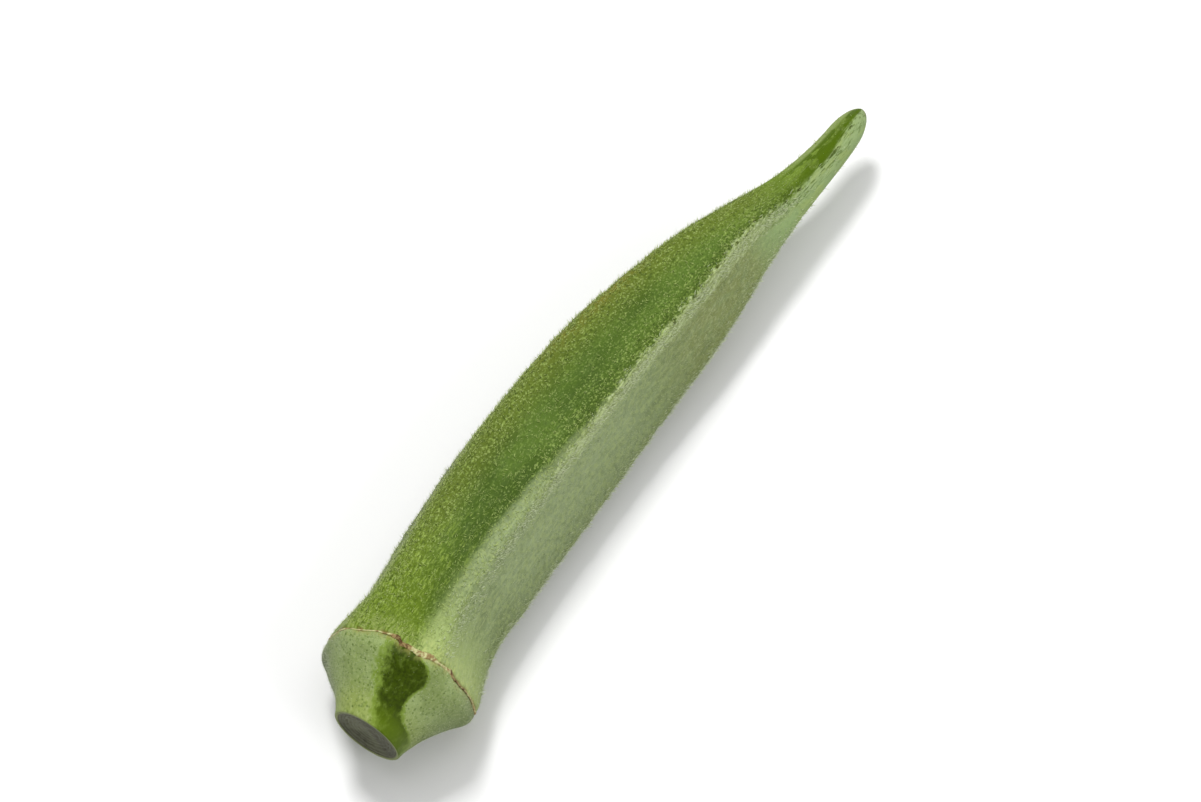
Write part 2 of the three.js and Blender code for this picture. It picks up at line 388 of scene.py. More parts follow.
# %% [markdown]
# ## The capsule
# A real capsule is never quite smooth. Its faces swell softly over the seeds, a shallow seam runs down the
# middle of each face, the ribs waver and pinch, and the skin puckers where it meets the scar. A sculptor
# would add these by hand. Here they are small terms added to the radius, so that they show in the outline
# and in the light.


# %% Relief of the capsule's skin
SIDE, TOP = 0, 1
SIDE_RIDGE, TOP_RIDGE = RIDGE_ANGLES[SIDE], RIDGE_ANGLES[TOP]
SWELLING, SEAM, PINCH, TOP_RIB, PUCKER, GRAIN, GROOVE = 0.13, 0.08, 0.08, 0.15, 0.09, 0.035, 0.28


def beside(ridge, station, angle):
    """Signed distance along the skin from one ridge, in millimetres: positive towards larger angles."""
    return wrapped(unturned(station, angle) - ridge) * along(CREST_RADIUS, station)


def seed_swelling(station, angle):
    """Low swellings over the seeds: slow waves along each face, strongest away from the crests."""
    on_face = 1 - bell(from_crest(station, angle), 3.2)
    waves = soft_noise(station / 5.5, angle, 10, 11) + 0.5 * soft_noise(station / 2.6, angle, 22, 12)
    return SWELLING * on_face * stretch(station, 16, 30, 84, 104) * waves


def face_seam(station, angle):
    """A shallow crease along the middle of each face: minus a narrow bell of the distance from there."""
    return -SEAM * bell(off_nearest(FACE_ANGLES, station, angle), 0.8) * stretch(station, 15, 26, 96, 112)


def crest_pinches(station, angle):
    """Uneven ribs: noise along each crest, only within a millimetre or so of it."""
    near = bell(from_crest(station, angle), 1.1) * stretch(station, 13, 20, 112, 120)
    uneven = soft_noise(station / 1.9, angle, 5, 21) + 0.7 * soft_noise(station / 0.8, angle, 5, 22)
    return PINCH * near * (1 - 0.8 * smoothstep(station, 80, 98)) * uneven


def top_rib(station, angle):
    """A flat rib beside the top ridge: a smoothstep up, steep and wavering along the crest, and one down."""
    across = beside(TOP_RIDGE, station, angle) + 0.15 * soft_noise(station / 1.4, angle * 0, 1, 23)
    return TOP_RIB * stretch(across, -0.45, 0, 1.6, 2.6) * stretch(station, 26, 50, 108, 118)


def shoulder_puckers(station, angle):
    """Fine wrinkles that fan out from the scar and fade within a few millimetres."""
    fade = np.exp(-np.maximum(past_scar(station, angle), 0) / 2.2)
    return PUCKER * fade * soft_noise(station / 5, angle, 110, 31)


def skin_grain(station, angle):
    """The lengthwise grain of the whole skin."""
    return GRAIN * (1 - smoothstep(station, 110, 123)) * soft_noise(station / 1.7, angle, 150, 41)


def scar_groove(station, angle):
    """The shallow groove that the scar lies in."""
    return -GROOVE * bell(past_scar(station, angle), 0.35)


def capsule_skin(station, angle):
    """The capsule's surface: the plain pod with all its relief, which fades out at the tip."""
    relief = seed_swelling(station, angle) + face_seam(station, angle) + crest_pinches(station, angle)
    relief = relief + top_rib(station, angle) + shoulder_puckers(station, angle) + skin_grain(station, angle)
    tip = np.sqrt(np.clip((LENGTH - station) / BEAK_ROUNDING, 0, 1))
    return place(station, angle, proud=(relief + scar_groove(station, angle)) * tip)


seam_sample = face_seam(np.array([20, LENGTH / 2]), np.full(2, FACE_ANGLES[0]))
print("the seam of the first face is", -seam_sample.round(3), "mm deep near the scar and at mid length")


# %% Stations and angles, closer together where the form turns quickly
def uneven_stations(stops):
    """Stations between the stops [station, count of steps], evenly spread within each stretch."""
    stretches = [
        np.linspace(here[0], ahead[0], ahead[1], endpoint=False) for here, ahead in zip(stops, stops[1:])
    ]
    return np.append(np.concatenate(stretches), stops[-1][0])


def crest_angles(per_face):
    """Angles round a section with one on every crest, and closer together near it: t - sin(2 pi t) / 4 pi
    from each crest to the next."""
    t = np.arange(per_face) / per_face
    eased = t - np.sin(2 * np.pi * t) / (4 * np.pi)
    ahead = np.append(RIDGE_ANGLES[1:], RIDGE_ANGLES[0] + 2 * np.pi)
    return (RIDGE_ANGLES[:, None] + (ahead - RIDGE_ANGLES)[:, None] * eased).ravel()


def grid_of(stations, angles):
    """Every station with every angle: the angles follow the turn of the ridges, the stations the scar."""
    station, angle = np.meshgrid(stations, angles, indexing="ij")
    angle = angle + np.radians(along(RIDGE_TURN_DEGREES, station))
    return following_scar(station, angle), angle


TIP_START = 119
COLUMNS_PER_FACE = 58
capsule_stations = uneven_stations([[SCAR_STATION, 0], [16, 24], [30, 44], [100, 190], [TIP_START, 54]])
tip_turns = np.linspace(0, np.pi / 2, 14)[1:-1]
tip_stations = TIP_START + (LENGTH - TIP_START) * np.sin(tip_turns)
pod_station, pod_angle = grid_of(np.append(capsule_stations, tip_stations), crest_angles(COLUMNS_PER_FACE))
print("capsule grid:", pod_station.shape, "points")

# %% Make the capsule
pod_poles = middle_at(np.array(SCAR_STATION)), middle_at(np.array(LENGTH))
pod = ringed_piece("okra_capsule", capsule_skin(pod_station, pod_angle), pod_poles)

# %% [markdown]
# ### What the capsule's materials need to know
# The side face carries the thickest pale bloom of hairs, with glare painted into its colour as well, and the
# top face the thinnest. The line where this pale zone starts keeps to the top ridge, but drifts on to the top
# face towards the scar and on to the side face along the beak. It could be painted as a texture. Numbers kept
# with each vertex do the same without a picture.

# %% Bloom with painted glare, markings and tint
BLOOM_AND_GLARE_OF_FACES = np.array([0.0, 1.0, 0.7, 0.45, 0.3])
BLOOM_AND_GLARE_EDGE = [[SCAR_STATION, -3.2], [24, -2.7], [46, -1.2], [60, -0.2], [LENGTH, -0.1]]
MARKINGS_DRIFT = [[SCAR_STATION, 0], [89, 0], [94, 0], [103, 1.1], [112, 1.1], [120, 0.4], [LENGTH, 0.2]]
TINT_STATION, TINT_LENGTH, TINT_WIDTH = 71, 10, 1.3


def beside_markings(station, angle):
    """Signed distance from the line that the top ridge's markings follow: the ridge itself, but on the beak
    a line beside it, on the side face."""
    return beside(TOP_RIDGE, station, angle) - along(MARKINGS_DRIFT, station)


def bloom_and_glare_at(station, angle):
    """0 on bare green skin, 1 where pale fuzz and the glare painted over it cover it: a mean of the faces
    with weights exp(36 cos(angle - face)), which changes softly from face to face, but with the edge beside
    the top ridge moved."""
    weights = np.exp(36 * (np.cos(unturned(station, angle)[..., None] - FACE_ANGLES) - 1))
    by_face = (weights * BLOOM_AND_GLARE_OF_FACES).sum(-1) / weights.sum(-1)
    from_edge = beside_markings(station, angle) - along(BLOOM_AND_GLARE_EDGE, station)
    uneven = 0.25 * soft_noise(station / 1.5, angle, 80, 91)
    soft = 0.4 + 1.1 * (1 - smoothstep(station, 22, 52))
    over_the_edge = smoothstep((from_edge + uneven) / soft, -1, 1) * (from_edge < 8)
    covered = np.maximum(by_face, over_the_edge)
    next_to_it = smoothstep(station, 93, 98) * (np.abs(from_edge) < 3)
    return covered * (1 - next_to_it * (1 - over_the_edge))


def browned_at(station, angle):
    """A long brown tint on the side ridge: two bells, one along it and one across it."""
    return bell(station - TINT_STATION, TINT_LENGTH) * bell(beside(SIDE_RIDGE, station, angle), TINT_WIDTH)


FAR = 9
for name, measure, at_poles in (
    ("station", lambda station, angle: station, (SCAR_STATION, LENGTH)),
    ("scar", past_scar, (0, FAR)),
    ("crest", from_crest, (FAR, 0)),
    ("markings", beside_markings, (FAR, 0)),
    ("side_ridge", lambda station, angle: beside(SIDE_RIDGE, station, angle), (FAR, 0)),
    ("bloom_and_glare", bloom_and_glare_at, (0, 0.5)),
    ("browned", browned_at, (0, 0)),
):
    keep_numbers(pod, name, measure(pod_station, pod_angle), *at_poles)
pod_round = wrapped(unturned(pod_station, pod_angle))
keep_straightened(pod, pod_station, pod_round, plain_radius(pod_station, pod_angle), SCAR_STATION, LENGTH)

# %% [markdown]
# ## The stem end
# The capsule grew on a swollen end of the stem, which narrows towards the cut. The cut face has dried: it is
# dished, with a thin lip, faint rings, and a circle of small bumps where the sap vessels end. It could be a
# turned profile, but the real one is slanted and lumpy, so it is made as rings of points, like the capsule.


# %% Relief of the stem end
def stem_skin(station, angle):
    """The flank of the stem end: soft lumps, a lengthwise grain, and fine wrinkles at the narrow neck."""
    lumps = 0.12 * soft_noise(station / 3.2, angle, 9, 51) * smoothstep(station, 1, 5)
    grain = GRAIN * soft_noise(station / 3.5, angle, 90, 52)
    neck = 0.05 * bell(station - 1.8, 1.6) * soft_noise(station / 0.7, angle, 26, 53)
    return place(station, angle, proud=lumps + grain + neck + scar_groove(station, angle))


def cut_face(share, angle):
    """The dished cut: a parabola DISH_DEPTH deep, with rings sin(share * k), vessel bumps and lumps."""
    wobble = 0.02 * soft_noise(share * 3, angle, 9, 62)
    rings = 0.05 * np.sin((share + wobble) * 52) * smoothstep(share, 0.12, 0.35)
    vessels = 0.07 * bell(share - 0.62, 0.05) * np.maximum(np.sin(angle * 17 + share * 3), 0)
    lumps = 0.06 * soft_noise(share * 4, angle, 12, 61)
    depth = DISH_DEPTH * (1 - (share / LIP_SHARE) ** 2) + rings + vessels + lumps
    return place(np.maximum(depth, 0) * (share < LIP_SHARE), angle, share=share)


# %% Make the stem end
LIP_CREST_SHARE = 0.985
STEM_COLUMNS_PER_FACE, CUT_RINGS, FLANK_RINGS = 44, 52, 104
stem_angles = crest_angles(STEM_COLUMNS_PER_FACE)
cut_shares = np.linspace(0.04, LIP_SHARE, CUT_RINGS)
face_share, face_angle = np.meshgrid(cut_shares, stem_angles, indexing="ij")
flank_stations = uneven_stations([[0.12, 0], [SCAR_STATION, FLANK_RINGS]])
flank_station, flank_angle = grid_of(flank_stations, stem_angles)
lip = place(np.zeros((1, len(stem_angles))), flank_angle[:1], share=LIP_CREST_SHARE)
stem_rings = np.concatenate([cut_face(face_share, face_angle), lip, stem_skin(flank_station, flank_angle)])
stem_poles = middle_at(np.array(DISH_DEPTH)), middle_at(np.array(SCAR_STATION))
stem = ringed_piece("okra_stem_end", stem_rings, stem_poles)

# %% What the stem end's materials need to know
SKIN_SHARE = 1.2
lip_share = np.full((1, len(stem_angles)), LIP_CREST_SHARE)
all_shares = np.concatenate([face_share, lip_share, np.full_like(flank_station, SKIN_SHARE)])
all_stations = np.concatenate([face_share * 0, lip_share * 0, flank_station])
all_angles = np.concatenate([face_angle, flank_angle[:1], flank_angle])
all_radii = np.minimum(all_shares, 1) * plain_radius(all_stations, all_angles)
STRIPE_FROM = [[0, 30], [4, 7], [7, 1], [10, 2], [SCAR_STATION, 5]]
STRIPE_TO = [[0, 95], [2, 80], [2.8, 50], [4, 36], [8, 35], [9, 30], [10, 22], [SCAR_STATION, 15]]


def green_stripe(station, angle):
    """1 on the dark green stripe from the cut to the scar, and 0 beside its two wandering edges."""
    degrees_round = np.degrees(wrapped(angle))
    low = 1 - smoothstep(station, 1.5, 4.5)
    left = smoothstep(degrees_round - along(STRIPE_FROM, station), -20 - 18 * low, 8)
    return left * (1 - smoothstep((degrees_round - along(STRIPE_TO, station)) / (4 + 20 * low), -1, 1))


keep_numbers(stem, "cut_share", all_shares, 0, SKIN_SHARE)
keep_numbers(stem, "station", all_stations, 0, SCAR_STATION)
keep_numbers(stem, "scar", past_scar(all_stations, all_angles), -FAR, 0)
keep_numbers(stem, "greener", green_stripe(all_stations, all_angles), 0, 0)
keep_straightened(stem, all_stations, wrapped(all_angles), all_radii, 0, SCAR_STATION)

# %% [markdown]
# ## The calyx scar
# Where the calyx dropped off, a thin ragged rim of dry tissue is left: a torn lip nearly a millimetre wide
# in some stretches, and only a thread in others. A bevelled curve would give it one width. Here a list says
# how wide it is at each angle, and noise of several wavelengths tears its edges and its crest.

# %% Make the calyx scar
SCAR_WIDTHS = [
    [-180, 0.25], [-100, 0.2], [-60, 0.16], [-30, 0.1], [-16, 0.12], [-6, 0.22], [2, 0.5], [10, 0.42],
    [28, 0.4], [38, 0.14], [46, 0.38], [56, 0.2], [80, 0.13], [110, 0.2], [150, 0.3], [180, 0.25],
]
SCAR_COLUMNS, SECTION_POINTS, SUNK = 900, 16, 0.16
scar_angles = np.linspace(0, 2 * np.pi, SCAR_COLUMNS, endpoint=False)
section_turns = np.linspace(0, 2 * np.pi, SECTION_POINTS, endpoint=False)


def scar_noise(cells_around, seed):
    """Noise round the ring only."""
    return soft_noise(np.full(SCAR_COLUMNS, 0.5), scar_angles, cells_around, seed)


half_width = along(SCAR_WIDTHS, np.degrees(wrapped(scar_angles)))
tearing = 1 + 0.5 * scar_noise(75, 75) + 0.25 * scar_noise(210, 76)
height = half_width * (0.6 + 0.5 * scar_noise(55, 73) + 0.3 * scar_noise(200, 74))
shaking = 0.45 * half_width * scar_noise(95, 72)
turn, scar_angle = np.meshgrid(section_turns, scar_angles, indexing="ij")
above = np.maximum(np.sin(turn), 0) ** 0.7 * np.maximum(height, 0.03)
below = np.minimum(np.sin(turn), 0) * 0.6
scar_station = SCAR_STATION + scar_offset(scar_angle) + shaking + half_width * tearing * np.cos(turn)
scar = ringed_piece("okra_calyx_scar", place(scar_station, scar_angle, proud=above + below - SUNK))

# %% Where the scar is dark
SCAR_DARKNESS = [
    [-180, 0.35], [-60, 0.3], [-40, 0.3], [-24, 0.1], [-13, 0.4], [-4, 0.5], [2, 1], [7, 0.9], [12, 0.35],
    [31, 0.4], [37, 0], [43, 0.35], [50, 0.7], [70, 0.6], [110, 0.5], [180, 0.4],
]
in_spots = soft_noise(turn / 3, scar_angle, 130, 77)
keep_numbers(scar, "dark", along(SCAR_DARKNESS, np.degrees(wrapped(scar_angle))) + 0.3 * in_spots)

# %% [markdown]
# ## The fuzz
# Okra is velvety: short stiff hairs stand on the faces, longer ones crowd on the crests, and a few grow on
# the stem end. Blender's hair systems would draw them, but they vanish when the model is exported, so each
# hair is a real closed spike with three sides, straight on the faces and bent towards the beak on the
# crests. The UV map has a narrow strip for each hair, so that a material can tell root from tip, and one
# hair from the next.


# %% One spike for each root
ROOT_SUNK = 0.06
STRIP_WIDTH = 0.024
LEAST_HEIGHT = 0.02
STRAIGHT, BENT = ((0, 1),), ((0, 1), (0.5, 0.72))


def spike(rings):
    """Triangles of a closed spike with this many three-sided rings below its tip, and the places of its
    points on a narrow strip of the map."""
    sides = [
        triangle
        for r in range(rings - 1)
        for a, b in ((0, 1), (1, 2), (2, 0))
        for triangle in ((3 * r + a, 3 * r + b, 3 * r + 3 + b), (3 * r + a, 3 * r + 3 + b, 3 * r + 3 + a))
    ]
    last = 3 * (rings - 1)
    cone = [(last + a, last + b, 3 * rings) for a, b in ((0, 1), (1, 2), (2, 0))]
    places = [(STRIP_WIDTH * k / 2, r / rings) for r in range(rings) for k in range(3)]
    return np.array([(0, 2, 1), *sides, *cone]), np.array([*places, (STRIP_WIDTH / 2, 1)])


def unit(vectors):
    """Vectors of length one with the same directions."""
    return vectors / np.linalg.norm(vectors, axis=-1, keepdims=True)


def skin_frame(skin, station, angle):
    """Points on a skin, and three unit directions at each: out of it, on towards the beak, and round the
    pod. They come from two short steps along the skin."""
    here = skin(station, angle)
    onward = unit(skin(station + 0.15, angle) - here)
    around = unit(skin(station, angle + 0.015) - here)
    return here, unit(np.cross(around, onward)), onward, around


def hairs_on(name, skin, roots, length, thickness, lean, bend, rng):
    """A piece with one spike for each root: a station and an angle. Its axis is root + length (t d + t^2 b).
    d leans out of the skin in a random direction or, where bend is given, mostly towards the beak, and b
    bends it further on. The radius shrinks from thickness / 2 at the root, sunk a little, to a point."""
    root, out, onward, around = skin_frame(skin, *roots)
    count = len(length)
    swing = rng.normal(0, 0.75 if bend else 2.2, count)[:, None]
    lean, length = lean[:, None], length[:, None]
    d = np.cos(lean) * out + np.sin(lean) * (np.cos(swing) * onward + np.sin(swing) * around)
    b = bend * (onward + rng.normal(0, 0.45, (count, 3)))
    side = unit(np.cross(d, around))
    other = np.cross(d, side)
    spokes = [np.cos(turn) * side + np.sin(turn) * other for turn in np.radians([0, 120, 240])]
    stops = BENT if bend else STRAIGHT
    rings = []
    for t, share in stops:
        centre = root - (t == 0) * ROOT_SUNK * out + length * (t * d + t * t * b)
        rings += [centre + thickness[:, None] / 2 * share * spoke for spoke in spokes]
    points = np.stack([*rings, root + length * (d + b)], axis=1)
    points[..., 2] = np.maximum(points[..., 2], LEAST_HEIGHT)
    points = points.reshape(-1, 3)
    triangles_of_one, places = spike(len(stops))
    triangles = (np.arange(count)[:, None, None] * len(places) + triangles_of_one).reshape(-1, 3)
    if signed_volume(points, triangles) < 0:
        triangles = triangles[:, ::-1]
    strip = np.repeat(rng.uniform(0, 1 - 1.2 * STRIP_WIDTH, count), len(triangles_of_one))
    map_places = strip[:, None, None] * [1, 0] + places[triangles % len(places)]
    print(f"{name}: {count} hairs, {len(triangles)} triangles")
    return new_piece(name, points, triangles.tolist(), map_places)


# %% Where hairs grow
FLOOR_CLEARANCE = 0.5
WIDEST_RADIUS = 13


def thinned(station, angle, chance, rng):
    """The places that stay: at random by their chance, and none close to the table."""
    kept = rng.uniform(0, 1, len(station)) < chance
    kept &= place(station, angle)[:, 2] > FLOOR_CLEARANCE
    return station[kept], angle[kept]


def over_the_skin(count, first, last, rng):
    """Places spread evenly over the skin: even over a cylinder, then kept in proportion to the radius."""
    station, angle = rng.uniform(first, last, count), rng.uniform(-np.pi, np.pi, count)
    kept = rng.uniform(0, 1, count) < plain_radius(station, angle) / WIDEST_RADIUS
    return station[kept], angle[kept]


def along_the_crests(count, first, last, rng):
    """Places close to the crests: a random crest, and a normal distance from it, wider at the shoulder, and
    on the top ridge shifted towards its pale band, which drifts further on along the beak."""
    station, crest = rng.uniform(first, last, count), rng.integers(0, len(RIDGE_ANGLES), count)
    spread = 0.55 + 0.75 * (1 - smoothstep(station, 14, 36))
    towards_band = (0.8 + along(MARKINGS_DRIFT, station)) * (crest == TOP)
    across = (rng.normal(0, 1, count) * spread + towards_band) / along(CREST_RADIUS, station)
    return station, RIDGE_ANGLES[crest] + np.radians(along(RIDGE_TURN_DEGREES, station)) + across


def in_tufts(station, angle, seed):
    """Between 0.4 and 1: hairs grow thick in some spots and thin in others."""
    return np.clip(0.72 + 0.45 * soft_noise(station / 1.6, angle, 34, seed), 0.4, 1)


def face_chance(station, angle):
    """Hairs of the faces: thinner down the middle of each face, on bare green skin and on the beak, and
    thick next to the scar."""
    towards_crest = 0.45 + 0.55 * bell(from_crest(station, angle), 3)
    pale = 0.6 + 0.4 * bloom_and_glare_at(station, angle)
    beak = 1 - 0.96 * smoothstep(station, 97, 111)
    scar_side = bell(past_scar(station, angle), 3)
    return in_tufts(station, angle, 81) * np.maximum(towards_crest * pale * beak, scar_side)


# %% Make the fuzz of the faces
FACE_TRIES = 205000
rng = np.random.default_rng(5)
station, angle = over_the_skin(FACE_TRIES, SCAR_STATION, LENGTH - 2, rng)
clear = past_scar(station, angle) > 0.5
station, angle = thinned(station[clear], angle[clear], face_chance(station, angle)[clear], rng)
growing_on = np.abs(wrapped(unturned(station, angle)[:, None] - FACE_ANGLES)).argmin(-1)
fuzz = []
for face in range(5):
    roots = station[growing_on == face], angle[growing_on == face]
    count = len(roots[0])
    rare = rng.uniform(0, 1, count) ** 3 * (1 - 0.7 * BLOOM_AND_GLARE_OF_FACES[face])
    length = 0.16 + 0.16 * rng.uniform(0, 1, count) + 0.5 * rare
    lean = np.radians(rng.uniform(35, 78, count) + 8 * rare)
    thickness = rng.uniform(0.03, 0.044, count) + 0.11 * rare
    fuzz.append(hairs_on(f"okra_face_fuzz_{face + 1}", capsule_skin, roots, length, thickness, lean, 0, rng))

# %% Make the fuzz of the crests
CREST_TRIES = 21500
station, angle = along_the_crests(CREST_TRIES, SCAR_STATION + 1, LENGTH - 3, rng)
beak_chance = 1 - 0.95 * smoothstep(station, 96, 112)
station, angle = thinned(station, angle, in_tufts(station, angle, 82) * beak_chance, rng)
on_side_ridge = np.abs(beside(SIDE_RIDGE, station, angle)) < 4
crest_fuzz = []
for name, chosen in (("okra_side_ridge_fuzz", on_side_ridge), ("okra_crest_fuzz", ~on_side_ridge)):
    roots = station[chosen], angle[chosen]
    count = len(roots[0])
    length = 0.3 + 0.5 * rng.uniform(0, 1, count) ** 1.8
    lean = np.radians(rng.uniform(15, 72, count))
    thickness = 0.04 + 0.06 * rng.uniform(0, 1, count) ** 2
    crest_fuzz.append(hairs_on(name, capsule_skin, roots, length, thickness, lean, 0.3, rng))

# %% Make the fuzz of the stem end
STEM_TRIES = 16000
station, angle = over_the_skin(STEM_TRIES, 1.5, SCAR_STATION, rng)
clear = past_scar(station, angle) < -0.5
off_stripe = 1 - 0.95 * green_stripe(station, angle)
stem_chance = in_tufts(station, angle, 83) * smoothstep(station, 1, 5) * off_stripe
roots = thinned(station[clear], angle[clear], stem_chance[clear], rng)
count = len(roots[0])
length = 0.16 + 0.3 * rng.uniform(0, 1, count) ** 1.8
lean = np.radians(rng.uniform(15, 75, count))
thickness = rng.uniform(0.03, 0.045, count)
stem_fuzz = hairs_on("okra_stem_fuzz", stem_skin, roots, length, thickness, lean, 0, rng)

# %% [markdown]
# ## Finishes
# Every finish is a Principled shader fed by noise, whose sizes are in millimetres along the pod and across
# it, because almost everything on an okra is stretched lengthwise. The noise reads the straightened
# coordinates kept with each vertex, so it follows the curve of the pod. Other kept numbers place what
# belongs to the form.
#
# A finish is built up as a painter would do it: a ground colour, and coats over it. A coat is a colour and
# its factors, whose product says how much of it covers each spot. A factor is a number, a socket, or a fade:
# (source, low, high, most, least), whose source is a socket, the name of a kept number, or the sizes of a
# noise.


# %% A finish and the nodes it is made of
def srgb(red, green, blue):
    """A colour as a screen shows it, each part from 0 to 255, in the linear values that Blender works in."""
    shares = np.array([red, green, blue]) / 255
    linear = np.where(shares <= 0.04045, shares / 12.92, ((shares + 0.055) / 1.055) ** 2.4)
    return (*linear.tolist(), 1)


class Finish:
    """A material with a Principled shader, whose sockets are set by name, and ways to add nodes to it."""

    def __init__(self, name, **sockets):
        self.material = bpy.data.materials.new(name)
        self.material.use_nodes = True
        self.tree = self.material.node_tree
        self.shader = self.tree.nodes["Principled BSDF"]
        for socket, value in sockets.items():
            self.shader.inputs[socket.replace("_", " ")].default_value = value

    def add(self, kind, inputs, **settings):
        """A node of this kind, with each input linked to a socket or set to a value."""
        made = self.tree.nodes.new(kind)
        for setting, value in settings.items():
            setattr(made, setting, value)
        for socket, value in inputs.items():
            if isinstance(value, bpy.types.NodeSocket):
                self.tree.links.new(value, made.inputs[socket])
            else:
                made.inputs[socket].default_value = value
        return made

    def sums(self, operation, first, second=0.0):
        """The result of one operation of arithmetic."""
        return self.add("ShaderNodeMath", {0: first, 1: second}, operation=operation).outputs[0]

    def kept(self, name, output="Fac"):
        """A number, or with output Vector a place, that was kept with each vertex."""
        if name not in self.tree.nodes:
            self.add("ShaderNodeAttribute", {}, attribute_name=name, name=name)
        return self.tree.nodes[name].outputs[output]

    def stretched(self, along_mm, across_mm):
        """The straightened coordinates, scaled so that one unit is along_mm by across_mm."""
        scale = (1 / along_mm, 1 / across_mm, 1 / across_mm)
        inputs = {"Vector": self.kept("straightened", "Vector"), "Scale": scale}
        return self.add("ShaderNodeMapping", inputs).outputs["Vector"]

    def noise(self, along_mm, across_mm, detail=2.0, roughness=0.5):
        """Soft noise around 0.5 with blobs of about this size."""
        inputs = {"Vector": self.stretched(along_mm, across_mm), "Scale": 1}
        inputs |= {"Detail": detail, "Roughness": roughness}
        return self.add("ShaderNodeTexNoise", inputs).outputs["Fac"]

    def fade(self, source, low, high, most=1.0, least=0.0):
        """least where the source is at low, most where it is at high, and smooth between them."""
        if isinstance(source, str):
            source = self.kept(source)
        if isinstance(source, tuple):
            source = self.noise(*source)
        inputs = {"Value": source, "From Min": low, "From Max": high, "To Min": least, "To Max": most}
        return self.add("ShaderNodeMapRange", inputs, interpolation_type="SMOOTHSTEP").outputs["Result"]

    def share(self, *factors):
        """The product of the factors."""
        product, *others = (self.fade(*factor) if isinstance(factor, tuple) else factor for factor in factors)
        for other in others:
            product = self.sums("MULTIPLY", product, other)
        return product

    def painted(self, ground, *coats):
        """The ground colour under its coats. A colour is a socket, or numbers for srgb."""
        colour = srgb(*ground) if isinstance(ground, tuple) else ground
        for coat, *factors in coats:
            over = srgb(*coat) if isinstance(coat, tuple) else coat
            inputs = {0: self.share(*factors), 6: colour, 7: over}
            colour = self.add("ShaderNodeMix", inputs, data_type="RGBA").outputs[2]
        return colour

    def painted_flank_shade(self, colour, from_height, most):
        """The same colour with painted shade on the flanks: darker where the skin turns under, by its height
        over the middle line (the third straightened coordinate), and where it is far out on the +Y side (the
        second)."""
        places = self.add("ShaderNodeSeparateXYZ", {"Vector": self.kept("straightened", "Vector")}).outputs
        under = self.fade(places["Z"], from_height, -5, most)
        far_out = self.fade(places["Y"], -6.5, -10.5, 0.3)
        # the painted shade: a dull dark green, as much as the two fades add up to
        return self.painted(colour, ((70, 80, 50), self.sums("ADD", under, far_out)))

    def dots(self, along_mm, across_mm):
        """Random points about this far apart: the distance to the nearest, and a random number of its own."""
        inputs = {"Vector": self.stretched(along_mm, across_mm), "Scale": 1}
        cells = self.add("ShaderNodeTexVoronoi", inputs, feature="F1")
        lot = self.add("ShaderNodeSeparateColor", {"Color": cells.outputs["Color"]}).outputs["Red"]
        return cells.outputs["Distance"], lot

    def bumps(self, height, depth_mm, **over):
        """A normal bent by a height from 0 to 1, for relief finer than the mesh, over another Normal."""
        inputs = {"Height": height, "Distance": depth_mm * MM, "Strength": 1, **over}
        return self.add("ShaderNodeBump", inputs).outputs["Normal"]

    def feed(self, **links):
        """Links sockets of the shader."""
        for socket, value in links.items():
            self.tree.links.new(value, self.shader.inputs[socket.replace("_", " ")])
        print(f"{self.material.name}: {len(self.tree.nodes)} nodes")


# %% [markdown]
# ### The velvet skin of the capsule
# Close up an okra is dark olive green under countless pale hair roots, brighter and yellower towards the
# ridges. The side face wears a greyish bloom drawn out in fine streaks, with glare painted into its paleness,
# and beside the top ridge runs a pale band with a nicked edge and a dark strip of painted shade along it. The
# bare side of the beak has patches of a deep wet green. One noise in a colour ramp would be the same all
# over, so each mark is a coat that keeps to its own stretch of the form.

# %% Ground colours of the capsule
skin = Finish("okra_skin", Sheen_Weight=0.04, Sheen_Roughness=0.4, Specular_IOR_Level=0.08)
# the bare green, lighter towards the beak, yellower by the side ridge and on the shoulder
green = skin.painted(
    (60, 82, 22),
    ((78, 102, 34), ((15, 5, 3), 0.36, 0.64)),
    ((88, 114, 42), ("station", 74, 84, 0.7)),
    ((102, 124, 44), ("station", 90, 98, 0.6)),
    ((92, 106, 34), ("side_ridge", 6, 1, 0.75)),
    ((92, 114, 24), ("station", 34, 16, 0.8)),
    ((106, 131, 40), ("station", 100, 109, 0.9)),
)
# the sage of the bloom, paler where glare is painted into it: broad tones, fine streaks and specks, then
# the shoulder, the far half and the beak
warmed = skin.share(("station", 66, 82), ("station", 102, 94))
sage_and_glare = skin.painted(
    (110, 124, 80),
    ((127, 142, 98), ((9, 1.6), 0.35, 0.65)),
    ((134, 148, 108), ("station", 72, 60, 0.75), ("station", 22, 34)),
    ((160, 176, 126), ((16, 0.35), 0.5, 0.68, 0.5), ("station", 44, 28, 1, 0.3)),
    ((148, 162, 106), ((0.8, 0.6, 2, 0.6), 0.45, 0.6, 0.55)),
    ((108, 122, 80), ((0.9, 0.7, 2, 0.6), 0.48, 0.38, 0.45)),
    ((155, 173, 102), ("station", 24, 13, 0.7)),
    ((122, 131, 78), warmed, ((3, 1.1, 3, 0.6), 0.35, 0.6, 0.85, 0.3)),
    ((160, 170, 122), warmed, ((0.9, 0.35, 2, 0.6), 0.52, 0.66, 0.6)),
    ((140, 163, 109), ("station", 92, 102, 0.85)),
    ((146, 164, 94), ("station", 100, 108), ((3, 1), 0.45, 0.6, 0.6)),
)

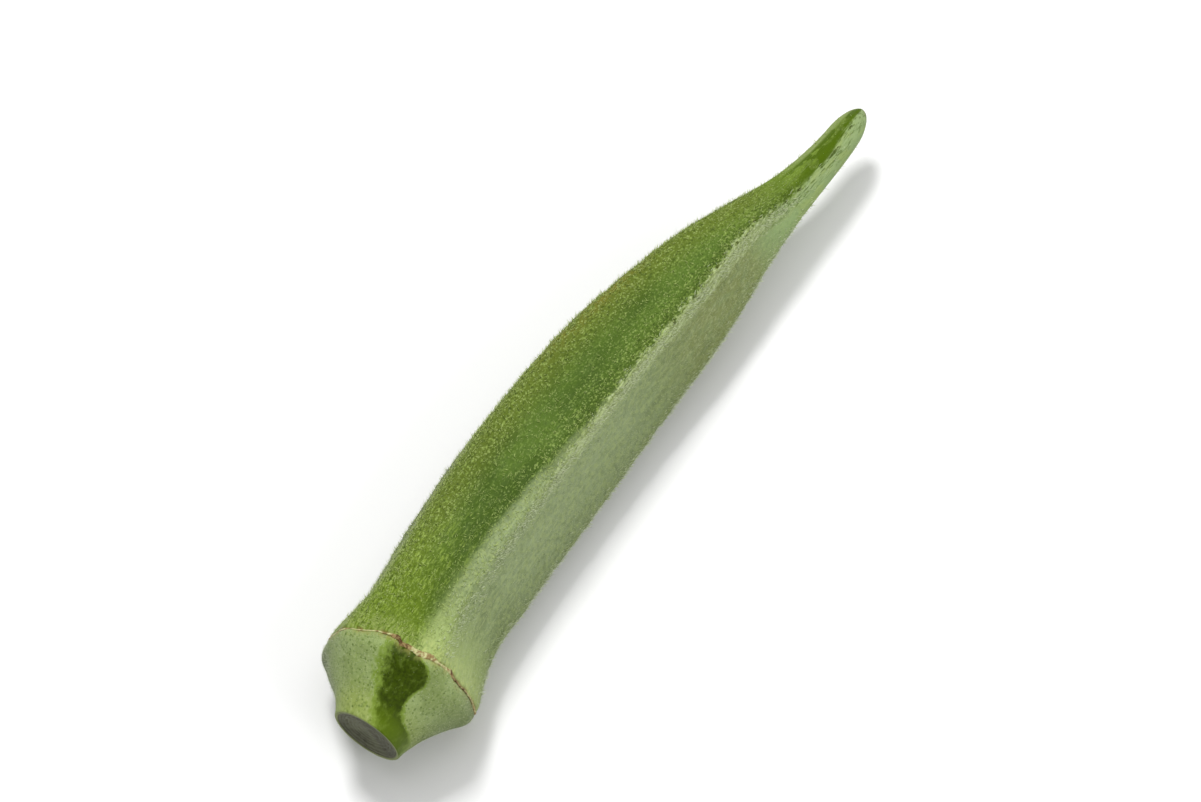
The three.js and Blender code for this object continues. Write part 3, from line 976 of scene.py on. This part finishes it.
# %% Markings of the capsule
bare = skin.fade("bloom_and_glare", 1, 0)
near_shoulder, beyond_shoulder = skin.fade("station", 44, 34, 0.7), skin.fade("station", 34, 56)
# painted shade: a darker strip just off the edge of the pale zone, near the shoulder
shade_by_pale_zone = skin.share(("markings", -6, -4), ("markings", -2, -3), ("station", 14, 20), near_shoulder)
wavering = skin.sums("ADD", skin.kept("markings"), skin.fade((1.1, 0.6, 3, 0.6), 0.3, 0.7, 0.45, -0.45))
other_crests = skin.share(("crest", 1.3, 0.5, 0.4), ("markings", 3, 4.5))
nicks, streaks = skin.fade((2.4, 0.45), 0.57, 0.63, 0.9), skin.fade((1.8, 0.22), 0.52, 0.62, 0.65)
band = skin.painted((132, 146, 90), ((176, 190, 138), ((2.2, 0.3, 3), 0.4, 0.62)))
colour = skin.painted(
    green,
    # the bloom, with its painted glare, over the bare green
    (sage_and_glare, skin.kept("bloom_and_glare")),
    # painted shade beside the bloom
    ((58, 80, 18), shade_by_pale_zone, 0.6),
    # painted shade on the dark side of the top ridge, its pale band, and nicks in the edge between them
    ((62, 80, 20), (wavering, -2.5, -0.4), (wavering, 0.1, -0.3), beyond_shoulder, 0.6),
    (band, (wavering, -0.35, 0.1), (wavering, 2.6, 1.5), beyond_shoulder, ("station", 96, 108, 0.2, 0.85)),
    ((56, 64, 16), (wavering, -0.6, -0.2), (wavering, 0.6, 0.2), nicks, ("station", 60, 76)),
    # the other crests, and the brown tint on the side ridge
    ((134, 146, 84), other_crests, ((1.8, 0.5), 0.4, 0.6), ("station", 104, 96)),
    ((126, 112, 44), skin.kept("browned"), ((1.6, 0.7, 3), 0.3, 0.62, 0.65)),
    # the beak: a painted highlight as a pale margin on its far side, dark streaks along the markings, and the
    # browned tip
    ((132, 148, 88), ("station", 106, 114), ("side_ridge", 1.9, 1.2, 0.8), ("side_ridge", -2, -1)),
    ((70, 92, 26), streaks, ("station", 90, 104), ("markings", -0.8, 0), ("markings", 2.6, 1.4)),
    ((74, 70, 16), ("station", 122, 125), ((2, 1.2), 0.4, 0.6), 0.8),
)

# %% Dots, flecks, stains and relief over everything
near_crest = skin.share(("crest", 6.5, 1, 0.9, 0.35), ("bloom_and_glare", 0, 1, 0.4, 1), ("station", 98, 112, 0.4, 1))
distance, lot = skin.dots(0.5, 0.34)
dots = skin.share((distance, 0.45, 0.15, 0.6), (lot, 0.45, 0.9), near_crest)
colour = skin.painted(
    colour,
    ((138, 160, 66), ((1.5, 0.28, 2, 0.6), 0.53, 0.66, 0.6), ("station", 40, 24), bare),
    ((146, 168, 86), ((0.55, 0.32, 2, 0.6), 0.53, 0.66, 0.6), near_crest),
    ((44, 62, 12), ((0.5, 0.36, 2, 0.6), 0.47, 0.34, 0.7), near_crest),
    ((168, 186, 112), dots),
    # the wet green patches on the beak, and more painted shade beside the bloom
    ((70, 94, 0), ("station", 101, 113), bare, ((2.6, 1.5), 0.47, 0.53, 0.95), ("side_ridge", 1, 1.8)),
    ((58, 80, 18), shade_by_pale_zone, 0.5),
    # a pale collar and a brown stain next to the scar
    ((170, 182, 112), ("scar", 5, 0.6, 0.7), ((1.8, 0.35, 3), 0.42, 0.6), ("bloom_and_glare", 0.1, 0.8, 1, 0.45)),
    ((112, 96, 46), ("scar", 0.6, 0.15), ((1.5, 1.5), 0.45, 0.6, 0.7)),
)
skin.feed(
    # painted shade on the flanks that turn under and to one side
    Base_Color=skin.painted_flank_shade(colour, 3, 0.4),
    Roughness=skin.fade((2, 0.8), 0.2, 0.8, 0.72, 0.42),
    Normal=skin.bumps(dots, 0.03, Normal=skin.bumps(skin.noise(0.5, 0.2, 3, 0.6), 0.05)),
)

# %% [markdown]
# ### The stem end
# Its skin is paler and yellower than the capsule's, and freckled all over with tiny dark dots. A dark green
# stripe runs down one flank. The cut has dried to a greyish olive, with fine dark rings and a pale rim. A
# mask could blend both in one material, but gloss and relief differ as well, so each has its own faces. The
# rings are a sine of the distance from the middle of the cut, shifted by noise.

# %% Finish of the stem end's skin
cap = Finish("okra_stem_skin", Sheen_Weight=0.03, Sheen_Roughness=0.4, Specular_IOR_Level=0.06)
distance, lot = cap.dots(0.5, 0.46)
greener = cap.sums("ADD", cap.kept("greener"), cap.fade((1.6, 0.8, 3, 0.6), 0.3, 0.7, 0.2, -0.2))
mottled = (52, 69, 0), ((0.7, 0.5, 3, 0.6), 0.3, 0.65)
stripe = cap.painted((36, 49, 0), mottled, ((88, 112, 0), ("station", 4, 1, 0.6)))
colour = cap.painted(
    (130, 147, 88),
    ((146, 163, 106), ((5, 4, 3), 0.35, 0.65)),
    ((142, 156, 78), ("station", 6, 1.5, 0.65)),
    ((164, 178, 118), ((1.1, 0.5, 3, 0.6), 0.5, 0.66, 0.4)),
    ((84, 104, 44), ((0.6, 0.5, 3, 0.6), 0.47, 0.34, 0.5)),
    ((72, 94, 34), (distance, 0.42, 0.2), (lot, 0.35, 0.9, 0.7)),
    ((110, 134, 40), (greener, 0.05, 0.5, 0.8)),
    (stripe, (greener, 0.4, 1, 0.95)),
    ((140, 138, 74), ("scar", -1.6, -0.3), ((1.2, 1, 3), 0.4, 0.62, 0.6)),
    ((98, 84, 28), ("scar", -0.5, -0.15), ((1.5, 1.5), 0.4, 0.6, 0.7)),
)
cap.feed(
    # painted shade on the flanks that turn under and to one side
    Base_Color=cap.painted_flank_shade(colour, 7, 0.72),
    Roughness=cap.fade((1.5, 1), 0.2, 0.8, 0.63, 0.38),
    Normal=cap.bumps(cap.noise(0.6, 0.25, 3, 0.6), 0.05),
)

# %% Finish of the cut face
cut = Finish("okra_dry_cut", Specular_IOR_Level=0.3)
ring_waves = cut.sums("ADD", cut.share(cut.kept("cut_share"), 70), cut.fade((2.5, 2.5), 0.2, 0.8, 3))
distance, lot = cut.dots(0.5, 0.5)
colour = cut.painted(
    (72, 72, 55),
    ((90, 92, 72), ((0.9, 0.9, 4, 0.6), 0.3, 0.7)),
    ((104, 107, 82), ((5, 5), 0.45, 0.65, 0.5)),
    ((56, 56, 36), (cut.sums("SINE", ring_waves), 0.1, 0.9, 0.5), ("cut_share", 0.45, 0.8)),
    ((126, 136, 84), ("cut_share", 0.88, 0.95, 0.85)),
    ((54, 52, 34), (distance, 0.35, 0.2), (lot, 0.5, 0.6, 0.35)),
)
cut.feed(
    Base_Color=colour,
    Roughness=cut.fade((0.6, 0.6), 0.2, 0.8, 0.8, 0.6),
    Normal=cut.bumps(cut.noise(0.25, 0.25, 4, 0.65), 0.1),
)

# %% [markdown]
# ### The dry scar and the hairs
# The scar is straw-coloured and darkens to brown where it is torn. A hair is darker and greener at its root,
# and pale at its tip, where there is nothing but a thin wall full of air. Its colour could be kept with its
# vertices, but the strip of the map that it has anyway tells root from tip, and one hair from the next.

# %% Finish of the scar
dry = Finish("okra_dry_scar", Specular_IOR_Level=0.3)
where = dry.add(
    "ShaderNodeMapping",
    {"Vector": dry.add("ShaderNodeTexCoord", {}).outputs["Object"], "Scale": (1 / MM, 1 / MM, 1 / MM)},
).outputs["Vector"]
fibres = dry.add("ShaderNodeTexNoise", {"Vector": where, "Scale": 2.5, "Detail": 4}).outputs["Fac"]
uneven = dry.sums("ADD", dry.kept("dark"), dry.fade(fibres, 0.3, 0.7, 0.35, -0.35))
dry.feed(
    Base_Color=dry.painted(
        (186, 186, 132), ((138, 116, 72), (uneven, 0, 0.6)), ((76, 50, 16), (uneven, 0.65, 1.1))
    ),
    Roughness=dry.fade(fibres, 0.2, 0.8, 0.85, 0.65),
    Normal=dry.bumps(fibres, 0.15),
)


# %% Finishes of the hairs
def hair_finish(name, root_colour, tip_colour, odd_colour):
    """Hairs that change from root to tip, up the map, with some of another tone, chosen by where their
    strips lie across the map."""
    hair = Finish(name, Roughness=0.45, Specular_IOR_Level=0.5)
    uv = hair.add("ShaderNodeUVMap", {}, uv_map=MAP_NAME).outputs["UV"]
    places = hair.add("ShaderNodeSeparateXYZ", {"Vector": uv}).outputs
    tone = hair.sums("PINGPONG", hair.share(places["X"], 37), 1)
    coats = (tip_colour, (places["Y"], 0, 0.4)), (odd_colour, (tone, 0, 1, 0.5))
    hair.feed(Base_Color=hair.painted(root_colour, *coats))
    return hair.material


green_hair = hair_finish("okra_green_hair", (112, 132, 54), (176, 193, 113), (130, 148, 68))
pale_hair = hair_finish("okra_pale_hair", (116, 130, 86), (184, 196, 152), (146, 158, 108))
white_hair = hair_finish("okra_white_hair", (140, 154, 108), (206, 216, 178), (166, 178, 126))

# %% Dress the pieces
for piece, *finishes in ((pod, skin), (stem, cap, cut), (scar, dry)):
    for finish in finishes:
        piece.data.materials.append(finish.material)
on_cut = np.zeros(len(stem.data.polygons), np.int32)
on_cut[: len(face_share) * len(stem_angles)] = 1
on_cut[(len(all_shares) - 1) * len(stem_angles) :][: len(stem_angles)] = 1
stem.data.polygons.foreach_set("material_index", on_cut)
print(f"{on_cut.sum()} of the {len(on_cut)} faces of the stem end are dry cut")
hairs = [pale_hair if share > 0.5 else green_hair for share in BLOOM_AND_GLARE_OF_FACES]
for piece, hair in zip((*fuzz, *crest_fuzz, stem_fuzz), (*hairs, green_hair, white_hair, white_hair)):
    piece.data.materials.append(hair)


# %% [markdown]
# ## Riding on the frame
# The pod grew as one body with no joints, so everything rides on the root body. The three fine skins each
# stand for one plain solid. The fuzz is extra.

# %% Ride and replace
for piece, node, slot in (
    (pod, "pod", "pod_skin"),
    (stem, "stem_cap", "stem_skin"),
    (scar, "calyx_scar", "dried_scar"),
):
    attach(piece, "root")
    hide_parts(node)
for piece in (*fuzz, *crest_fuzz):
    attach(piece, "root")
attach(stem_fuzz, "root")
print("pieces on the root body:", 3 + len(fuzz) + len(crest_fuzz) + 1)

# %% [markdown]
# ## Stage, light and camera
# A wide white table, a soft key light from the upper left of the picture, and weaker fills from the right
# and from above, as in a light tent. The camera looks steeply down with a long lens, so parallel lines stay
# parallel.

# %% Table
TABLE_HALF = 3.0
table_mesh = bpy.data.meshes.new("table_top")
table_corners = [(x * TABLE_HALF, y * TABLE_HALF, 0) for x, y in ((-1, -1), (1, -1), (1, 1), (-1, 1))]
table_mesh.from_pydata(table_corners, [], [(0, 1, 2, 3)])
table = bpy.data.objects.new("table_top", table_mesh)
bpy.context.scene.collection.objects.link(table)
white = Finish("white_table", Base_Color=(0.86, 0.86, 0.86, 1), Roughness=0.7, Specular_IOR_Level=0.2)
table.data.materials.append(white.material)

# %% Camera
CAMERA_AZIMUTH, CAMERA_ELEVATION, CAMERA_ROLL = radians(-59.5), radians(58.6), radians(3.8)
CAMERA_DISTANCE = 1.103
LENS, SENSOR = 240, 36
AIM = Vector((0.0, 0.0, 0.0108))
towards_camera = Vector((
    sin(CAMERA_AZIMUTH) * cos(CAMERA_ELEVATION),
    -cos(CAMERA_AZIMUTH) * cos(CAMERA_ELEVATION),
    sin(CAMERA_ELEVATION),
))
lens = bpy.data.cameras.new("camera")
lens.lens, lens.sensor_width, lens.clip_start, lens.clip_end = LENS, SENSOR, 0.05, 20
camera = bpy.data.objects.new("camera", lens)
bpy.context.scene.collection.objects.link(camera)
camera.location = AIM + towards_camera * CAMERA_DISTANCE
level = towards_camera.to_track_quat("Z", "Y")
camera.rotation_euler = (level @ Quaternion((0, 0, 1), CAMERA_ROLL)).to_euler()
bpy.context.scene.camera = camera
print("the camera stands at", [round(number, 3) for number in camera.location], "m")

# %% Lights
PICTURE_RIGHT = Vector((cos(CAMERA_AZIMUTH), sin(CAMERA_AZIMUTH), 0))
PICTURE_UP = Vector((-sin(CAMERA_AZIMUTH), cos(CAMERA_AZIMUTH), 0))
LIGHTS = {  # how far right, up the picture and above the table, then size and watts
    "key": (-0.32, 0.45, 1.22, 0.35, 12.6),
    "fill": (0.9, -0.5, 0.7, 0.9, 6.5),
    "tent": (0, 0, 1.8, 1.6, 8),
}
for name, (right, up, high, size, watts) in LIGHTS.items():
    lamp = bpy.data.lights.new(name, "AREA")
    lamp.size, lamp.energy = size, watts
    light = bpy.data.objects.new(name, lamp)
    light.location = PICTURE_RIGHT * right + PICTURE_UP * up + Vector((0, 0, high))
    light.rotation_euler = light.location.to_track_quat("Z", "Y").to_euler()
    bpy.context.scene.collection.objects.link(light)

WORLD_STRENGTH = 0.35
world = bpy.data.worlds.new("white_tent")
world.use_nodes = True
world.node_tree.nodes["Background"].inputs["Color"].default_value = (1, 1, 1, 1)
world.node_tree.nodes["Background"].inputs["Strength"].default_value = WORLD_STRENGTH
bpy.context.scene.world = world
bpy.context.scene.view_settings.view_transform = "Standard"
print("lights:", ", ".join(LIGHTS))
